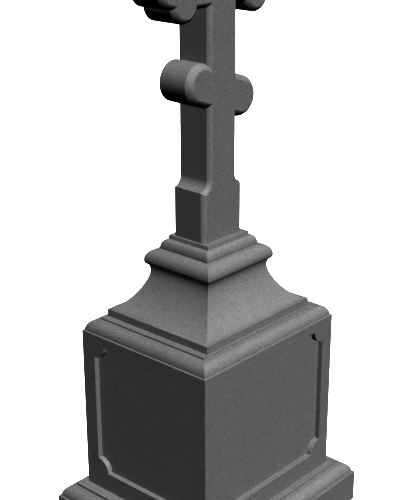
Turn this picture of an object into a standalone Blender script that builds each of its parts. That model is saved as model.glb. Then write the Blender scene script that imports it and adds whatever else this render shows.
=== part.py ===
"""Orthodox cross memorial: a moulded granite pedestal of three blocks with a budded cross on top.

Axes: X across the front, Y towards the back (the front face looks to -Y), Z up.
The origin is under the middle of the base, z = 0 is the underside.
Heights are stacked from the ground up, and every block takes its plan from the die or
from the foot of the cross, so the joints stay closed when one size is changed.
"""
import math

import bmesh
import bpy

for old in list(bpy.data.objects):
    bpy.data.objects.remove(old, do_unlink=True)

NAME = "cross_memorial"

# Driving dimensions, in metres
JOINT = 0.0003              # bed joint left between two stones
ARC = 48                    # sides of a full circle

DIE_WIDTH = 0.600           # across the front
DIE_DEPTH = 0.504           # front to back
DIE_FACE_H = 0.5339         # plain upright face
DIE_NICK = 0.0055           # narrow step in from the face to the ovolo
DIE_OVOLO_W = 0.0298
DIE_OVOLO_H = 0.0347
DIE_FILLET_IN = 0.0055
DIE_FILLET_H = 0.006

BASE_SPREAD_X = 0.0755      # how far the base face stands out past the die, to the sides
BASE_SPREAD_Y = 0.0650      # and to front and back
BASE_FACE_H = 0.1051
BASE_NICK = 0.0075
BASE_OVOLO_W = 0.0355
BASE_OVOLO_H = 0.0375
BASE_FILLET_H = 0.0087

PANEL_DEPTH = 0.017
PANEL_NOTCH = 0.042         # radius of the scooped corners
PANEL_BORDER_LOW = 0.0634   # border under the panel
PANEL_BORDER_HIGH = 0.0335  # border over the panel
PANEL_BORDER_FRONT = 0.046  # upright borders of the front panel
PANEL_BORDER_SIDE = 0.052   # upright borders of the side panels

CAP_INSET_X = 0.0631        # the cap stands back from the die face, at the sides
CAP_INSET_Y = 0.0486        # and at front and back
CAP_FACE_H = 0.0230
CAP_FACE_LEAN = 0.0008
NECK_X = 0.1350             # half sizes of the neck on top of the hollow sweep
NECK_Y = 0.1167
SWEEP_H = 0.1203            # from the cap face up to the neck
SWEEP_SLOPE = 5.4           # degrees, at its foot
SWEEP_PULL = 0.452          # where the sweep's two handles lie, as shares of its size
SWEEP_LIFT = 0.7015
FLARE_OUT = 0.0042          # the neck leans out under the roll
FLARE_H = 0.0188
ROLL_LOW_W = 0.0094         # under side of the roll, from the neck to its widest point
ROLL_LOW_H = 0.0142
ROLL_TOP_W = 0.0331         # upper side of the roll
ROLL_TOP_H = 0.0354
STEP_W = 0.0034             # flat step on top of the roll
QUIRK_H = 0.002             # undercut foot of the small ovolo
QUIRK_OUT = 0.002
SMALL_OVOLO_W = 0.0154
SMALL_OVOLO_H = 0.0274
PLINTH_X = 0.0936           # half sizes of the block under the shaft
PLINTH_Y = 0.0795
PLINTH_H = 0.0129
PLINTH_LEAN = 0.0016

CROSS_THICK = 0.116
SHAFT_CHAMFER = 0.0135      # front edges of the shaft
SHAFT_HALF_W = 0.060
FOOT_SPREAD = 0.026         # the foot of the shaft is this much wider on each side
COVE_LIP = 0.0075
FOOT_H = 0.1524             # foot of the shaft, up to the coves
FOOTBAR_UP = 0.4390         # middle of the slanted bar, above the foot of the cross
FOOTBAR_SHIFT = 0.003       # the bar reaches a little further to the right
FOOTBAR_HALF = 0.0865       # end centres, measured across
FOOTBAR_RISE = 0.0300       # the left end is this much higher than the middle
FOOTBAR_R = 0.0600
FOOTBAR_CHAMFER = 0.019
BAR_UP = 0.7393             # middle of the main bar, above the foot of the cross
BAR_HALF_H = 0.060
BAR_CHAMFER = 0.0165        # main bar and its buds
BUD_R = 0.0512
BUD_OUT = 0.150             # side buds, from the crossing along the arm
BUD_SIDE = 0.0436           # side buds, from the arm's centre line
BUD_REACH = 0.0487          # end bud, beyond the side buds
CORE_REACH = 0.013          # filling disc between the three buds, beyond the side buds

# Plan sizes and heights that follow from them
half_x = DIE_WIDTH / 2
half_y = DIE_DEPTH / 2
foot_half = SHAFT_HALF_W + FOOT_SPREAD
base_top = BASE_FACE_H + BASE_OVOLO_H + BASE_FILLET_H
die_bottom = base_top + JOINT
die_face_top = die_bottom + DIE_FACE_H
die_top = die_face_top + DIE_OVOLO_H + DIE_FILLET_H
cap_bottom = die_top + JOINT


def stone(name, colour, rough):
    mat = bpy.data.materials.new(name)
    mat.use_nodes = True
    bsdf = mat.node_tree.nodes["Principled BSDF"]
    bsdf.inputs["Base Color"].default_value = (*colour, 1.0)
    bsdf.inputs["Roughness"].default_value = rough
    return mat


def collection(name):
    col = bpy.data.collections.new(name)
    bpy.context.scene.collection.children.link(col)
    return col


PARTS = collection(NAME)
TOOLS = collection(NAME + "_tools")


def skin(rings, name, col, mat=None):
    """Close a stack of rings (lists of points, same count) into one solid."""
    bm = bmesh.new()
    loops = [[bm.verts.new(p) for p in ring] for ring in rings]
    n = len(loops[0])
    for low, high in zip(loops, loops[1:]):
        for i in range(n):
            j = (i + 1) % n
            bm.faces.new((low[i], low[j], high[j], high[i]))
    bm.faces.new(loops[0][::-1])
    bm.faces.new(loops[-1])
    bmesh.ops.recalc_face_normals(bm, faces=bm.faces)
    mesh = bpy.data.meshes.new(name)
    bm.to_mesh(mesh)
    bm.free()
    obj = bpy.data.objects.new(name, mesh)
    col.objects.link(obj)
    if mat:
        mesh.materials.append(mat)
    if col is TOOLS:
        obj.hide_render = True
        obj.display_type = "WIRE"
    return obj


class Profile:
    """Rings of a rectangular block, drawn upwards: (half size in x, half size in y, height)."""

    def __init__(self, x, y, z):
        self.rings = [(x, y, z)]

    def step(self, inward, up):
        x, y, z = self.rings[-1]
        self.rings.append((x - inward, y - inward, z + up))

    def ovolo(self, inward, up, steps=8):
        """Convex quarter: starts upright, ends flat."""
        x, y, z = self.rings[-1]
        for k in range(1, steps + 1):
            a = math.pi / 2 * k / steps
            d = inward * (1 - math.cos(a))
            self.rings.append((x - d, y - d, z + up * math.sin(a)))

    def flare(self, outward, up, steps=4):
        """Leans outwards more and more: starts upright."""
        x, y, z = self.rings[-1]
        for k in range(1, steps + 1):
            t = k / steps
            self.rings.append((x + outward * t * t, y + outward * t * t, z + up * t))

    def under(self, outward, up, steps=4):
        """Under side of a roll: starts flat, ends upright at its widest point."""
        x, y, z = self.rings[-1]
        for k in range(1, steps + 1):
            a = math.pi / 2 * k / steps
            d = outward * math.sin(a)
            self.rings.append((x + d, y + d, z + up * (1 - math.cos(a))))

    def build(self, name, mat):
        return skin([[(-x, -y, z), (x, -y, z), (x, y, z), (-x, y, z)] for x, y, z in self.rings],
                    name, PARTS, mat)


def combine(obj, tool, operation):
    mod = obj.modifiers.new(tool.name, "BOOLEAN")
    mod.object = tool
    mod.operation = operation
    mod.solver = "EXACT"


base_stone = stone("granite_base", (0.135, 0.137, 0.142), 0.55)
die_stone = stone("granite_die", (0.140, 0.142, 0.147), 0.50)
cap_stone = stone("granite_cap", (0.138, 0.140, 0.145), 0.52)
cross_stone = stone("granite_cross", (0.142, 0.144, 0.149), 0.50)

# Base: plain face, ovolo, fillet and a flat top that the die stands on
prof = Profile(half_x + BASE_SPREAD_X, half_y + BASE_SPREAD_Y, 0.0)
prof.step(0.0, BASE_FACE_H)
prof.step(BASE_NICK, 0.0)
prof.ovolo(BASE_OVOLO_W, BASE_OVOLO_H)
prof.step(0.0, BASE_FILLET_H)
base = prof.build("base", base_stone)

# Die: plain faces, narrow step, ovolo and fillet
prof = Profile(half_x, half_y, die_bottom)
prof.step(0.0, DIE_FACE_H)
prof.step(DIE_NICK, 0.0)
prof.ovolo(DIE_OVOLO_W, DIE_OVOLO_H)
prof.step(DIE_FILLET_IN, 0.0)
prof.step(0.0, DIE_FILLET_H)
die = prof.build("die", die_stone)


def panel_cutter(name, w, face, place):
    """Cutter for a sunk panel with scooped corners; place(u, out, z) puts it on its face."""
    low, high = die_bottom + PANEL_BORDER_LOW, die_face_top - PANEL_BORDER_HIGH
    outline = []
    for u, z, start in ((-w, low, 90), (w, low, 180), (w, high, 270), (-w, high, 0)):
        for k in range(11):
            a = math.radians(start - 9 * k)
            outline.append((u + PANEL_NOTCH * math.cos(a), z + PANEL_NOTCH * math.sin(a)))
    rings = [[place(u, face + out, z) for u, z in outline] for out in (-PANEL_DEPTH, PANEL_DEPTH)]
    return skin(rings, name, TOOLS)


front_w = half_x - PANEL_BORDER_FRONT
side_w = half_y - PANEL_BORDER_SIDE
combine(die, panel_cutter("panel_front", front_w, half_y, lambda u, v, z: (u, -v, z)), "DIFFERENCE")
combine(die, panel_cutter("panel_left", side_w, half_x, lambda u, v, z: (-v, u, z)), "DIFFERENCE")
combine(die, panel_cutter("panel_right", side_w, half_x, lambda u, v, z: (v, u, z)), "DIFFERENCE")

# Cap: leaning face, hollow sweep to the neck, roll, small ovolo and the block under the shaft
prof = Profile(half_x - CAP_INSET_X, half_y - CAP_INSET_Y, cap_bottom)
prof.step(CAP_FACE_LEAN, CAP_FACE_H)
x0, y0, z0 = prof.rings[-1]
first_rise = SWEEP_PULL * math.tan(math.radians(SWEEP_SLOPE)) * (x0 - NECK_X)
for k in range(1, 13):
    t = k / 12
    s = 1 - t
    # share of the way in, and height, on one curve: sloping at the foot, upright at the neck
    share = 3 * s * s * t * SWEEP_PULL + 3 * s * t * t + t ** 3
    up = 3 * s * s * t * first_rise + (3 * s * t * t * SWEEP_LIFT + t ** 3) * SWEEP_H
    prof.rings.append((x0 + (NECK_X - x0) * share, y0 + (NECK_Y - y0) * share, z0 + up))
prof.flare(FLARE_OUT, FLARE_H)
prof.under(ROLL_LOW_W, ROLL_LOW_H)
prof.ovolo(ROLL_TOP_W, ROLL_TOP_H, 10)
prof.step(STEP_W, 0.0)
prof.step(-QUIRK_OUT, QUIRK_H)
prof.ovolo(SMALL_OVOLO_W, SMALL_OVOLO_H, 7)
prof.rings.append((PLINTH_X, PLINTH_Y, prof.rings[-1][2]))
prof.step(PLINTH_LEAN, PLINTH_H)
cap = prof.build("cap", cap_stone)
foot_z = prof.rings[-1][2] + JOINT


def plate(name, outline, chamfer, col=TOOLS, mat=None):
    """Upright plate: outline(e) gives (x, z) points drawn in by e; the front edge is chamfered."""
    rings = []
    for y, e in ((CROSS_THICK / 2, 0.0), (chamfer - CROSS_THICK / 2, 0.0),
                 (-CROSS_THICK / 2, chamfer)):
        rings.append([(x, y, z) for x, z in outline(e)])
    return skin(rings, name, col, mat)


bar_z = foot_z + BAR_UP
footbar_z = foot_z + FOOTBAR_UP


def shaft_outline(e):
    cove_r = FOOT_SPREAD + COVE_LIP
    r = cove_r + e
    cx = SHAFT_HALF_W + cove_r
    cz = foot_z + FOOT_H + cove_r
    half = [(foot_half - e, foot_z)]
    start = math.asin((cx - foot_half + e) / r)
    for k in range(11):
        a = start + (math.pi / 2 - start) * k / 10
        half.append((cx - r * math.sin(a), cz - r * math.cos(a)))
    half.append((SHAFT_HALF_W - e, bar_z + BUD_OUT))
    return half + [(-x, z) for x, z in reversed(half)]


def footbar_outline(e):
    tilt = math.atan2(FOOTBAR_RISE, FOOTBAR_HALF)
    pts = []
    for s, start in ((1, -90), (-1, 90)):
        for k in range(ARC // 2 + 1):
            a = math.radians(start + 360 * k / ARC) - tilt
            pts.append((FOOTBAR_SHIFT + s * FOOTBAR_HALF + (FOOTBAR_R - e) * math.cos(a),
                        footbar_z - s * FOOTBAR_RISE + (FOOTBAR_R - e) * math.sin(a)))
    return pts


def bar_outline(e):
    x = BUD_OUT + BUD_R / 2
    h = BAR_HALF_H - e
    return [(-x, bar_z - h), (x, bar_z - h), (x, bar_z + h), (-x, bar_z + h)]


def disc(cx, cz, r):
    def outline(e):
        return [(cx + (r - e) * math.cos(2 * math.pi * (k + 0.5) / ARC),
                 cz + (r - e) * math.sin(2 * math.pi * (k + 0.5) / ARC)) for k in range(ARC)]
    return outline


# The filling disc stops just short of the nick between a side bud and the end bud
half_gap = math.hypot(BUD_REACH, BUD_SIDE) / 2
deep = math.sqrt(max(BUD_R ** 2 - half_gap ** 2, 0.0)) / (2 * half_gap)
nick_along = BUD_REACH / 2 + deep * BUD_SIDE
nick_across = BUD_SIDE / 2 + deep * BUD_REACH
CORE_SHORT = 0.0007
core_r = math.hypot(nick_along - CORE_REACH, nick_across) - CORE_SHORT

# Cross: one stone, made by joining the shaft, the slanted foot bar, the main bar and the buds
cross = plate("cross", shaft_outline, SHAFT_CHAMFER, PARTS, cross_stone)
combine(cross, plate("foot_bar", footbar_outline, FOOTBAR_CHAMFER), "UNION")
combine(cross, plate("main_bar", bar_outline, BAR_CHAMFER), "UNION")
buds = [("core", BUD_OUT + CORE_REACH, 0.0, core_r), ("end", BUD_OUT + BUD_REACH, 0.0, BUD_R),
        ("side_a", BUD_OUT, BUD_SIDE, BUD_R), ("side_b", BUD_OUT, -BUD_SIDE, BUD_R)]
for arm, (ux, uz) in (("left", (-1, 0)), ("right", (1, 0)), ("top", (0, 1))):
    for label, along, across, radius in buds:
        centre = (ux * along + uz * across, bar_z + uz * along + ux * across)
        tool = plate(arm + "_" + label, disc(*centre, radius), BAR_CHAMFER)
        combine(cross, tool, "UNION")
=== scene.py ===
"""Orthodox cross memorial in honed grey granite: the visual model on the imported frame."""
import math

import bmesh
import bpy
from mathutils import Matrix, Vector


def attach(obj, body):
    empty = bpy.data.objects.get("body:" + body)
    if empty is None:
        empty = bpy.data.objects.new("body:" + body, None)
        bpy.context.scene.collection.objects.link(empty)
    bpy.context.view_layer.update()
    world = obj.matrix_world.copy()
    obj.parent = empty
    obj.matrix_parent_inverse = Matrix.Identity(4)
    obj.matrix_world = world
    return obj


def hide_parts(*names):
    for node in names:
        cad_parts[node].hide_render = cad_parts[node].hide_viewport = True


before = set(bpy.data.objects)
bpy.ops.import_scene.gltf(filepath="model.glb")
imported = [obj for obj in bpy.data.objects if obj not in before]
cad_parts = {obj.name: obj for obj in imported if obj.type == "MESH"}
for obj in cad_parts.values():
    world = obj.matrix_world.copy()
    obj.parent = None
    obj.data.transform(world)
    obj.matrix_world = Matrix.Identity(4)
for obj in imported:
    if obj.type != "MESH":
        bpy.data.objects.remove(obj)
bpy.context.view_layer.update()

# Sizes in metres, as in the solids
HALF_X, HALF_Y = 0.300, 0.252
BASE_SPREAD_X, BASE_SPREAD_Y = 0.0755, 0.0650
BASE_FACE_H, BASE_NICK, BASE_FILLET_H = 0.1051, 0.0075, 0.0087
BASE_OVOLO_W, BASE_OVOLO_H = 0.0355, 0.0375
DIE_BOTTOM, DIE_FACE_TOP = 0.1516, 0.6855
DIE_NICK, DIE_FILLET_IN, DIE_FILLET_H = 0.0055, 0.0055, 0.006
DIE_OVOLO_W, DIE_OVOLO_H = 0.0298, 0.0347
PANEL_LOW, PANEL_HIGH, PANEL_DEPTH, PANEL_NOTCH = 0.2150, 0.6520, 0.017, 0.042
PANEL_BORDER_FRONT, PANEL_BORDER_SIDE = 0.046, 0.052
CAP_HALF_X, CAP_HALF_Y, CAP_BOTTOM = 0.2369, 0.2034, 0.7265
CAP_FACE_H, CAP_FACE_LEAN = 0.0230, 0.0008
NECK_X, NECK_Y = 0.1350, 0.1167
SWEEP_H, SWEEP_SLOPE = 0.1203, 5.4       # the slope at its foot in degrees
SWEEP_PULL, SWEEP_LIFT = 0.452, 0.7015   # its two handles, as shares of its size
FLARE_OUT, FLARE_H = 0.0042, 0.0188
ROLL_LOW_W, ROLL_LOW_H, ROLL_TOP_W, ROLL_TOP_H = 0.0094, 0.0142, 0.0331, 0.0354
STEP_W, QUIRK = 0.0034, 0.002
SMALL_OVOLO_W, SMALL_OVOLO_H = 0.0154, 0.0274
PLINTH_X, PLINTH_Y, PLINTH_H, PLINTH_LEAN = 0.0936, 0.0795, 0.0129, 0.0016

THICK = 0.116
FOOT_Z = 0.9808
SHAFT_HALF, FOOT_HALF, SHAFT_CHAMFER = 0.060, 0.086, 0.0135
COVE_R, COVE_Z = 0.0335, FOOT_Z + 0.1859
FOOTBAR_Z = FOOT_Z + 0.4390
FOOTBAR_SHIFT, FOOTBAR_HALF, FOOTBAR_RISE = 0.003, 0.0865, 0.0300
FOOTBAR_R, FOOTBAR_CHAMFER = 0.0600, 0.019
BAR_Z = FOOT_Z + 0.7393
BAR_HALF_H, BAR_CHAMFER = 0.060, 0.0165
BUD_R, BUD_OUT, BUD_SIDE, BUD_REACH = 0.0512, 0.150, 0.0436, 0.0487
CORE_REACH, CORE_SHORT = 0.013, 0.0007   # filling disc between the three buds of an arm
ARC = 96                                 # sides of a full circle

# Camera: lengths in widths of the die, places in pixels of the 400 x 500 frame
CAM_AZIMUTH, CAM_HEIGHT, CAM_ROLL = 48.38, 20.7802, -0.05
CAM_DISTANCE, CAM_ASIDE, CAM_AIM_Z = 5.6447, 0.0045, 1.5416 + 0.010 / 0.6
FRAME_W, FRAME_H = 400, 500
FOCAL_PX, CENTRE_X, CENTRE_Y = 1121.549, 209.81, 246.698


def skin(rings, name):
    """Close a stack of rings into one solid."""
    bm = bmesh.new()
    loops = [[bm.verts.new(p) for p in ring] for ring in rings]
    n = len(loops[0])
    for low, high in zip(loops, loops[1:]):
        for i in range(n):
            j = (i + 1) % n
            bm.faces.new((low[i], low[j], high[j], high[i]))
    bm.faces.new(loops[0][::-1])
    bm.faces.new(loops[-1])
    bmesh.ops.recalc_face_normals(bm, faces=bm.faces)
    mesh = bpy.data.meshes.new(name)
    bm.to_mesh(mesh)
    bm.free()
    obj = bpy.data.objects.new(name, mesh)
    bpy.context.scene.collection.objects.link(obj)
    return obj


class Profile:
    """Rings of a rectangular block from the ground up: (half x, half y, height)."""

    def __init__(self, x, y, z):
        self.rings = [(x, y, z)]

    def step(self, inward, up):
        x, y, z = self.rings[-1]
        self.rings.append((x - inward, y - inward, z + up))

    def ovolo(self, inward, up, steps=18):
        x, y, z = self.rings[-1]
        for k in range(1, steps + 1):
            a = math.pi / 2 * k / steps
            d = inward * (1 - math.cos(a))
            self.rings.append((x - d, y - d, z + up * math.sin(a)))

    def flare(self, outward, up, steps=10):
        x, y, z = self.rings[-1]
        for k in range(1, steps + 1):
            t = k / steps
            self.rings.append((x + outward * t * t, y + outward * t * t, z + up * t))

    def under(self, outward, up, steps=14):
        x, y, z = self.rings[-1]
        for k in range(1, steps + 1):
            a = math.pi / 2 * k / steps
            d = outward * math.sin(a)
            self.rings.append((x + d, y + d, z + up * (1 - math.cos(a))))

    def build(self, name):
        return skin([[(-x, -y, z), (x, -y, z), (x, y, z), (-x, y, z)] for x, y, z in self.rings],
                    name)


def apply_modifiers(obj):
    dg = bpy.context.evaluated_depsgraph_get()
    mesh = bpy.data.meshes.new_from_object(obj.evaluated_get(dg))
    obj.modifiers.clear()
    obj.data = mesh


def combine(obj, tools, operation):
    for tool in tools:
        mod = obj.modifiers.new("cut", "BOOLEAN")
        mod.object = tool
        mod.operation = operation
        mod.solver = "EXACT"
    apply_modifiers(obj)
    for tool in tools:
        bpy.data.objects.remove(tool, do_unlink=True)


def tidy(obj, shortest):
    """Join the flat pieces that the cuts leave and take out edges below the shortest length."""
    bm = bmesh.new()
    bm.from_mesh(obj.data)
    flat = math.radians(0.4)
    bmesh.ops.remove_doubles(bm, verts=bm.verts, dist=2e-6)
    bmesh.ops.dissolve_limit(bm, angle_limit=flat, verts=bm.verts, edges=bm.edges)
    bmesh.ops.dissolve_degenerate(bm, dist=shortest, edges=bm.edges)
    bmesh.ops.dissolve_limit(bm, angle_limit=flat, verts=bm.verts, edges=bm.edges)
    bmesh.ops.recalc_face_normals(bm, faces=bm.faces)
    bm.to_mesh(obj.data)
    bm.free()


def ease(obj, width, angle=28, segments=3):
    """Round the arrises as a hone leaves them."""
    for poly in obj.data.polygons:
        poly.use_smooth = True
    mod = obj.modifiers.new("eased", "BEVEL")
    mod.width = width
    mod.segments = segments
    mod.limit_method = "ANGLE"
    mod.angle_limit = math.radians(angle)
    mod.use_clamp_overlap = False
    mod.harden_normals = True
    mod.miter_outer = "MITER_ARC"
    flat = obj.modifiers.new("flat_faces", "WEIGHTED_NORMAL")
    flat.mode = "FACE_AREA"
    flat.keep_sharp = True


# Base
prof = Profile(HALF_X + BASE_SPREAD_X, HALF_Y + BASE_SPREAD_Y, 0.0)
prof.step(0.0, BASE_FACE_H)
prof.step(BASE_NICK, 0.0)
prof.ovolo(BASE_OVOLO_W, BASE_OVOLO_H)
prof.step(0.0, BASE_FILLET_H)
base = prof.build("base_stone")
ease(base, 0.0007)

# Die with its sunk panels
prof = Profile(HALF_X, HALF_Y, DIE_BOTTOM)
prof.step(0.0, DIE_FACE_TOP - DIE_BOTTOM)
prof.step(DIE_NICK, 0.0)
prof.ovolo(DIE_OVOLO_W, DIE_OVOLO_H)
prof.step(DIE_FILLET_IN, 0.0)
prof.step(0.0, DIE_FILLET_H)
die = prof.build("die_stone")


def panel(w, face, place):
    """Cutter for a sunk panel with scooped corners; place(u, out, z) puts it on its face."""
    outline = []
    for u, z, start in ((-w, PANEL_LOW, 90), (w, PANEL_LOW, 180),
                        (w, PANEL_HIGH, 270), (-w, PANEL_HIGH, 0)):
        for k in range(25):
            a = math.radians(start - 3.75 * k)
            outline.append((u + PANEL_NOTCH * math.cos(a), z + PANEL_NOTCH * math.sin(a)))
    return skin([[place(u, face + out, z) for u, z in outline]
                 for out in (-PANEL_DEPTH, PANEL_DEPTH)], "cut")


front_w = HALF_X - PANEL_BORDER_FRONT
side_w = HALF_Y - PANEL_BORDER_SIDE
combine(die, [panel(front_w, HALF_Y, lambda u, v, z: (u, -v, z)),
              panel(side_w, HALF_X, lambda u, v, z: (-v, u, z)),
              panel(side_w, HALF_X, lambda u, v, z: (v, u, z))], "DIFFERENCE")
tidy(die, 0.0002)
ease(die, 0.0007)

# Cap
prof = Profile(CAP_HALF_X, CAP_HALF_Y, CAP_BOTTOM)
prof.step(CAP_FACE_LEAN, CAP_FACE_H)
x0, y0, z0 = prof.rings[-1]
first_rise = SWEEP_PULL * math.tan(math.radians(SWEEP_SLOPE)) * (x0 - NECK_X)
for k in range(1, 37):
    t = k / 36
    s = 1 - t
    share = 3 * s * s * t * SWEEP_PULL + 3 * s * t * t + t ** 3
    up = 3 * s * s * t * first_rise + (3 * s * t * t * SWEEP_LIFT + t ** 3) * SWEEP_H
    prof.rings.append((x0 + (NECK_X - x0) * share, y0 + (NECK_Y - y0) * share, z0 + up))
prof.flare(FLARE_OUT, FLARE_H)
prof.under(ROLL_LOW_W, ROLL_LOW_H)
prof.ovolo(ROLL_TOP_W, ROLL_TOP_H, 24)
prof.step(STEP_W, 0.0)
prof.step(-QUIRK, QUIRK)
prof.ovolo(SMALL_OVOLO_W, SMALL_OVOLO_H)
prof.rings.append((PLINTH_X, PLINTH_Y, prof.rings[-1][2]))
prof.step(PLINTH_LEAN, PLINTH_H)
cap = prof.build("cap_stone")
ease(cap, 0.0006)


# Cross
def plate(outline, chamfer, name="part", start=28, end=80, steps=6):
    """Upright plate; its front edge is a slightly rounded chamfer."""
    a0, a1 = math.radians(start), math.radians(end)
    rings = [[(x, THICK / 2, z) for x, z in outline(0.0)]]
    for k in range(steps + 1):
        a = a0 + (a1 - a0) * k / steps
        e = chamfer * (math.cos(a0) - math.cos(a)) / (math.cos(a0) - math.cos(a1))
        back = chamfer * (math.sin(a1) - math.sin(a)) / (math.sin(a1) - math.sin(a0))
        rings.append([(x, back - THICK / 2, z) for x, z in outline(e)])
    return skin(rings, name)


def shaft_outline(e):
    r = COVE_R + e
    cx = SHAFT_HALF + COVE_R
    half = [(FOOT_HALF - e, FOOT_Z)]
    start = math.asin((cx - FOOT_HALF + e) / r)
    for k in range(25):
        a = start + (math.pi / 2 - start) * k / 24
        half.append((cx - r * math.sin(a), COVE_Z - r * math.cos(a)))
    half.append((SHAFT_HALF - e, BAR_Z + BUD_OUT))
    return half + [(-x, z) for x, z in reversed(half)]


def footbar_outline(e):
    tilt = math.atan2(FOOTBAR_RISE, FOOTBAR_HALF)
    pts = []
    for s, start in ((1, -90), (-1, 90)):
        for k in range(ARC // 2 + 1):
            a = math.radians(start + 360 * k / ARC) - tilt
            pts.append((FOOTBAR_SHIFT + s * FOOTBAR_HALF + (FOOTBAR_R - e) * math.cos(a),
                        FOOTBAR_Z - s * FOOTBAR_RISE + (FOOTBAR_R - e) * math.sin(a)))
    return pts


def bar_outline(e):
    x = BUD_OUT + BUD_R / 2
    h = BAR_HALF_H - e
    return [(-x, BAR_Z - h), (x, BAR_Z - h), (x, BAR_Z + h), (-x, BAR_Z + h)]


def disc(cx, cz, r):
    def outline(e):
        return [(cx + (r - e) * math.cos(2 * math.pi * (k + 0.5) / ARC),
                 cz + (r - e) * math.sin(2 * math.pi * (k + 0.5) / ARC)) for k in range(ARC)]
    return outline


# The filling disc stops just short of the nick between a side bud and the end bud
half_gap = math.hypot(BUD_REACH, BUD_SIDE) / 2
deep = math.sqrt(BUD_R ** 2 - half_gap ** 2) / (2 * half_gap)
core_r = math.hypot(BUD_REACH / 2 + deep * BUD_SIDE - CORE_REACH,
                    BUD_SIDE / 2 + deep * BUD_REACH) - CORE_SHORT
cross = plate(shaft_outline, SHAFT_CHAMFER, "cross_stone")
tools = [plate(footbar_outline, FOOTBAR_CHAMFER), plate(bar_outline, BAR_CHAMFER)]
for ux, uz in ((-1, 0), (1, 0), (0, 1)):
    for along, across, radius in ((BUD_OUT + CORE_REACH, 0.0, core_r),
                                  (BUD_OUT + BUD_REACH, 0.0, BUD_R),
                                  (BUD_OUT, BUD_SIDE, BUD_R), (BUD_OUT, -BUD_SIDE, BUD_R)):
        tools.append(plate(disc(ux * along + uz * across, BAR_Z + uz * along + ux * across,
                                radius), BAR_CHAMFER))
combine(cross, tools, "UNION")
tidy(cross, 0.0005)
ease(cross, 0.0008, 24)


# Materials
def granite(name, tone, seed):
    mat = bpy.data.materials.new(name)
    mat.use_nodes = True
    nt = mat.node_tree
    nodes, links = nt.nodes, nt.links
    bsdf = nodes["Principled BSDF"]
    coord = nodes.new("ShaderNodeTexCoord")
    shift = nodes.new("ShaderNodeMapping")
    shift.inputs["Location"].default_value = seed
    links.new(coord.outputs["Object"], shift.inputs["Vector"])

    def noise(scale, detail):
        n = nodes.new("ShaderNodeTexNoise")
        n.inputs["Scale"].default_value = scale
        n.inputs["Detail"].default_value = detail
        links.new(shift.outputs["Vector"], n.inputs["Vector"])
        return n

    def ramp(source, stops, mode="LINEAR"):
        r = nodes.new("ShaderNodeValToRGB")
        r.color_ramp.interpolation = mode
        r.color_ramp.elements[0].position = stops[0][0]
        r.color_ramp.elements[0].color = (*[stops[0][1]] * 3, 1)
        r.color_ramp.elements[1].position = stops[-1][0]
        r.color_ramp.elements[1].color = (*[stops[-1][1]] * 3, 1)
        for pos, val in stops[1:-1]:
            e = r.color_ramp.elements.new(pos)
            e.color = (val, val, val, 1)
        links.new(source, r.inputs["Fac"])
        return r

    def multiply(a):
        m = nodes.new("ShaderNodeMix")
        m.data_type = "RGBA"
        m.blend_type = "MULTIPLY"
        m.inputs["Factor"].default_value = 1.0
        links.new(a, m.inputs["A"])
        return m

    grains = nodes.new("ShaderNodeTexVoronoi")
    grains.inputs["Scale"].default_value = 520.0
    links.new(shift.outputs["Vector"], grains.inputs["Vector"])
    sep = nodes.new("ShaderNodeSeparateColor")
    links.new(grains.outputs["Color"], sep.inputs["Color"])
    # shares of dark mica, grey quartz and paler feldspar
    body = ramp(sep.outputs["Red"], [(0.0, 0.80), (0.14, 0.92), (0.45, 1.0), (0.80, 1.09)],
                "CONSTANT")
    fine = noise(1400.0, 2.0)
    fine_r = ramp(fine.outputs["Fac"], [(0.3, 0.96), (0.7, 1.04)])
    mottle = noise(9.0, 4.0)
    mottle_r = ramp(mottle.outputs["Fac"], [(0.3, 0.98), (0.7, 1.02)])
    grained = multiply(body.outputs["Color"])
    links.new(fine_r.outputs["Color"], grained.inputs["B"])
    mottled = multiply(grained.outputs["Result"])
    links.new(mottle_r.outputs["Color"], mottled.inputs["B"])
    tint = multiply(mottled.outputs["Result"])
    tint.inputs["B"].default_value = (*tone, 1.0)
    links.new(tint.outputs["Result"], bsdf.inputs["Base Color"])
    rough = ramp(sep.outputs["Green"], [(0.0, 0.62), (1.0, 0.76)])
    links.new(rough.outputs["Color"], bsdf.inputs["Roughness"])
    bsdf.inputs["Specular IOR Level"].default_value = 0.12
    bump = nodes.new("ShaderNodeBump")
    bump.inputs["Strength"].default_value = 0.10
    bump.inputs["Distance"].default_value = 0.0004
    links.new(fine.outputs["Fac"], bump.inputs["Height"])
    links.new(bump.outputs["Normal"], bsdf.inputs["Normal"])
    return mat


GREY = (0.160, 0.160, 0.161)
STONES = {
    "base": (base, "granite_base", (0.0, 0.0, 0.0)),
    "die": (die, "granite_die", (3.1, 1.7, 0.4)),
    "cap": (cap, "granite_cap", (7.3, 2.9, 5.2)),
    "cross": (cross, "granite_cross", (1.9, 8.3, 6.1)),
}
for node, (obj, slot, seed) in STONES.items():
    obj.data.materials.clear()
    obj.data.materials.append(granite(slot + "_look", GREY, seed))
    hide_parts(node)
    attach(obj, "root")

# Floor
bpy.ops.mesh.primitive_plane_add(size=60)
floor = bpy.context.object
floor.name = "floor"
mat = bpy.data.materials.new("floor_pale")
mat.use_nodes = True
bsdf = mat.node_tree.nodes["Principled BSDF"]
bsdf.inputs["Base Color"].default_value = (0.85, 0.85, 0.85, 1)
bsdf.inputs["Roughness"].default_value = 0.9
bsdf.inputs["Specular IOR Level"].default_value = 0.1
bsdf.inputs["Emission Color"].default_value = (1, 1, 1, 1)
bsdf.inputs["Emission Strength"].default_value = 0.75
floor.data.materials.append(mat)
floor.visible_diffuse = False
floor.visible_glossy = False

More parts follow.
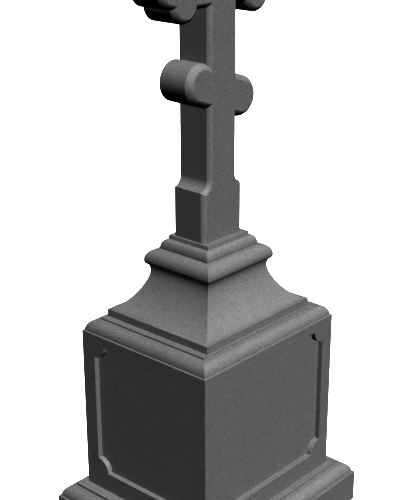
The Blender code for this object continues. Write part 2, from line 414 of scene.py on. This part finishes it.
# World: dim sky for the stone, pale backdrop for the camera
world = bpy.data.worlds.new("studio")
bpy.context.scene.world = world
world.use_nodes = True
nt = world.node_tree
bg = nt.nodes["Background"]
bg.inputs["Strength"].default_value = 1.0
coord = nt.nodes.new("ShaderNodeTexCoord")
sep = nt.nodes.new("ShaderNodeSeparateXYZ")
sky = nt.nodes.new("ShaderNodeValToRGB")
sky.color_ramp.elements[0].position = 0.0
sky.color_ramp.elements[0].color = (0.0, 0.0, 0.0, 1)
sky.color_ramp.elements[1].position = 0.6
sky.color_ramp.elements[1].color = (0.02, 0.02, 0.02, 1)
path = nt.nodes.new("ShaderNodeLightPath")
pick = nt.nodes.new("ShaderNodeMix")
pick.data_type = "RGBA"
pick.inputs["B"].default_value = (1, 1, 1, 1)
nt.links.new(coord.outputs["Generated"], sep.inputs["Vector"])
nt.links.new(sep.outputs["Z"], sky.inputs["Fac"])
nt.links.new(path.outputs["Is Camera Ray"], pick.inputs["Factor"])
nt.links.new(sky.outputs["Color"], pick.inputs["A"])
nt.links.new(pick.outputs["Result"], bg.inputs["Color"])
bpy.context.scene.view_settings.view_transform = "Raw"


def softbox(name, direction, strength, angle, shadow):
    light = bpy.data.lights.new(name, "SUN")
    light.energy = strength
    light.angle = math.radians(angle)
    light.use_shadow = shadow
    obj = bpy.data.objects.new(name, light)
    bpy.context.scene.collection.objects.link(obj)
    d = Vector(direction).normalized()
    obj.rotation_euler = d.to_track_quat("Z", "Y").to_euler()
    return obj


softbox("key", (-0.302, -0.612, 0.731), 11.75, 8, False)
softbox("back_fill", (0.70, 0.71, 0.04), 6.0, 20, False).visible_glossy = False

# Camera, set where the photograph was taken from
cam_data = bpy.data.cameras.new("camera")
cam = bpy.data.objects.new("camera", cam_data)
bpy.context.scene.collection.objects.link(cam)
az, el, roll = (math.radians(a) for a in (CAM_AZIMUTH, CAM_HEIGHT, CAM_ROLL))
to_cam = Vector((-math.sin(az) * math.cos(el), -math.cos(az) * math.cos(el), math.sin(el)))
right = Vector((math.cos(az), -math.sin(az), 0.0))
up = right.cross(-to_cam)
r2 = math.cos(roll) * right + math.sin(roll) * up
u2 = math.cos(roll) * up - math.sin(roll) * right
die_widths = CAM_DISTANCE * to_cam + CAM_ASIDE * right + Vector((0, 0, CAM_AIM_Z))
pos = 2 * HALF_X * die_widths
rot = Matrix((r2, u2, to_cam)).transposed().to_4x4()
cam.matrix_world = Matrix.Translation(pos) @ rot
cam_data.sensor_width = 36
cam_data.lens = FOCAL_PX / FRAME_H * cam_data.sensor_width
cam_data.shift_x = (FRAME_W / 2 - CENTRE_X) / FRAME_H
cam_data.shift_y = (CENTRE_Y - FRAME_H / 2) / FRAME_H
bpy.context.scene.camera = cam
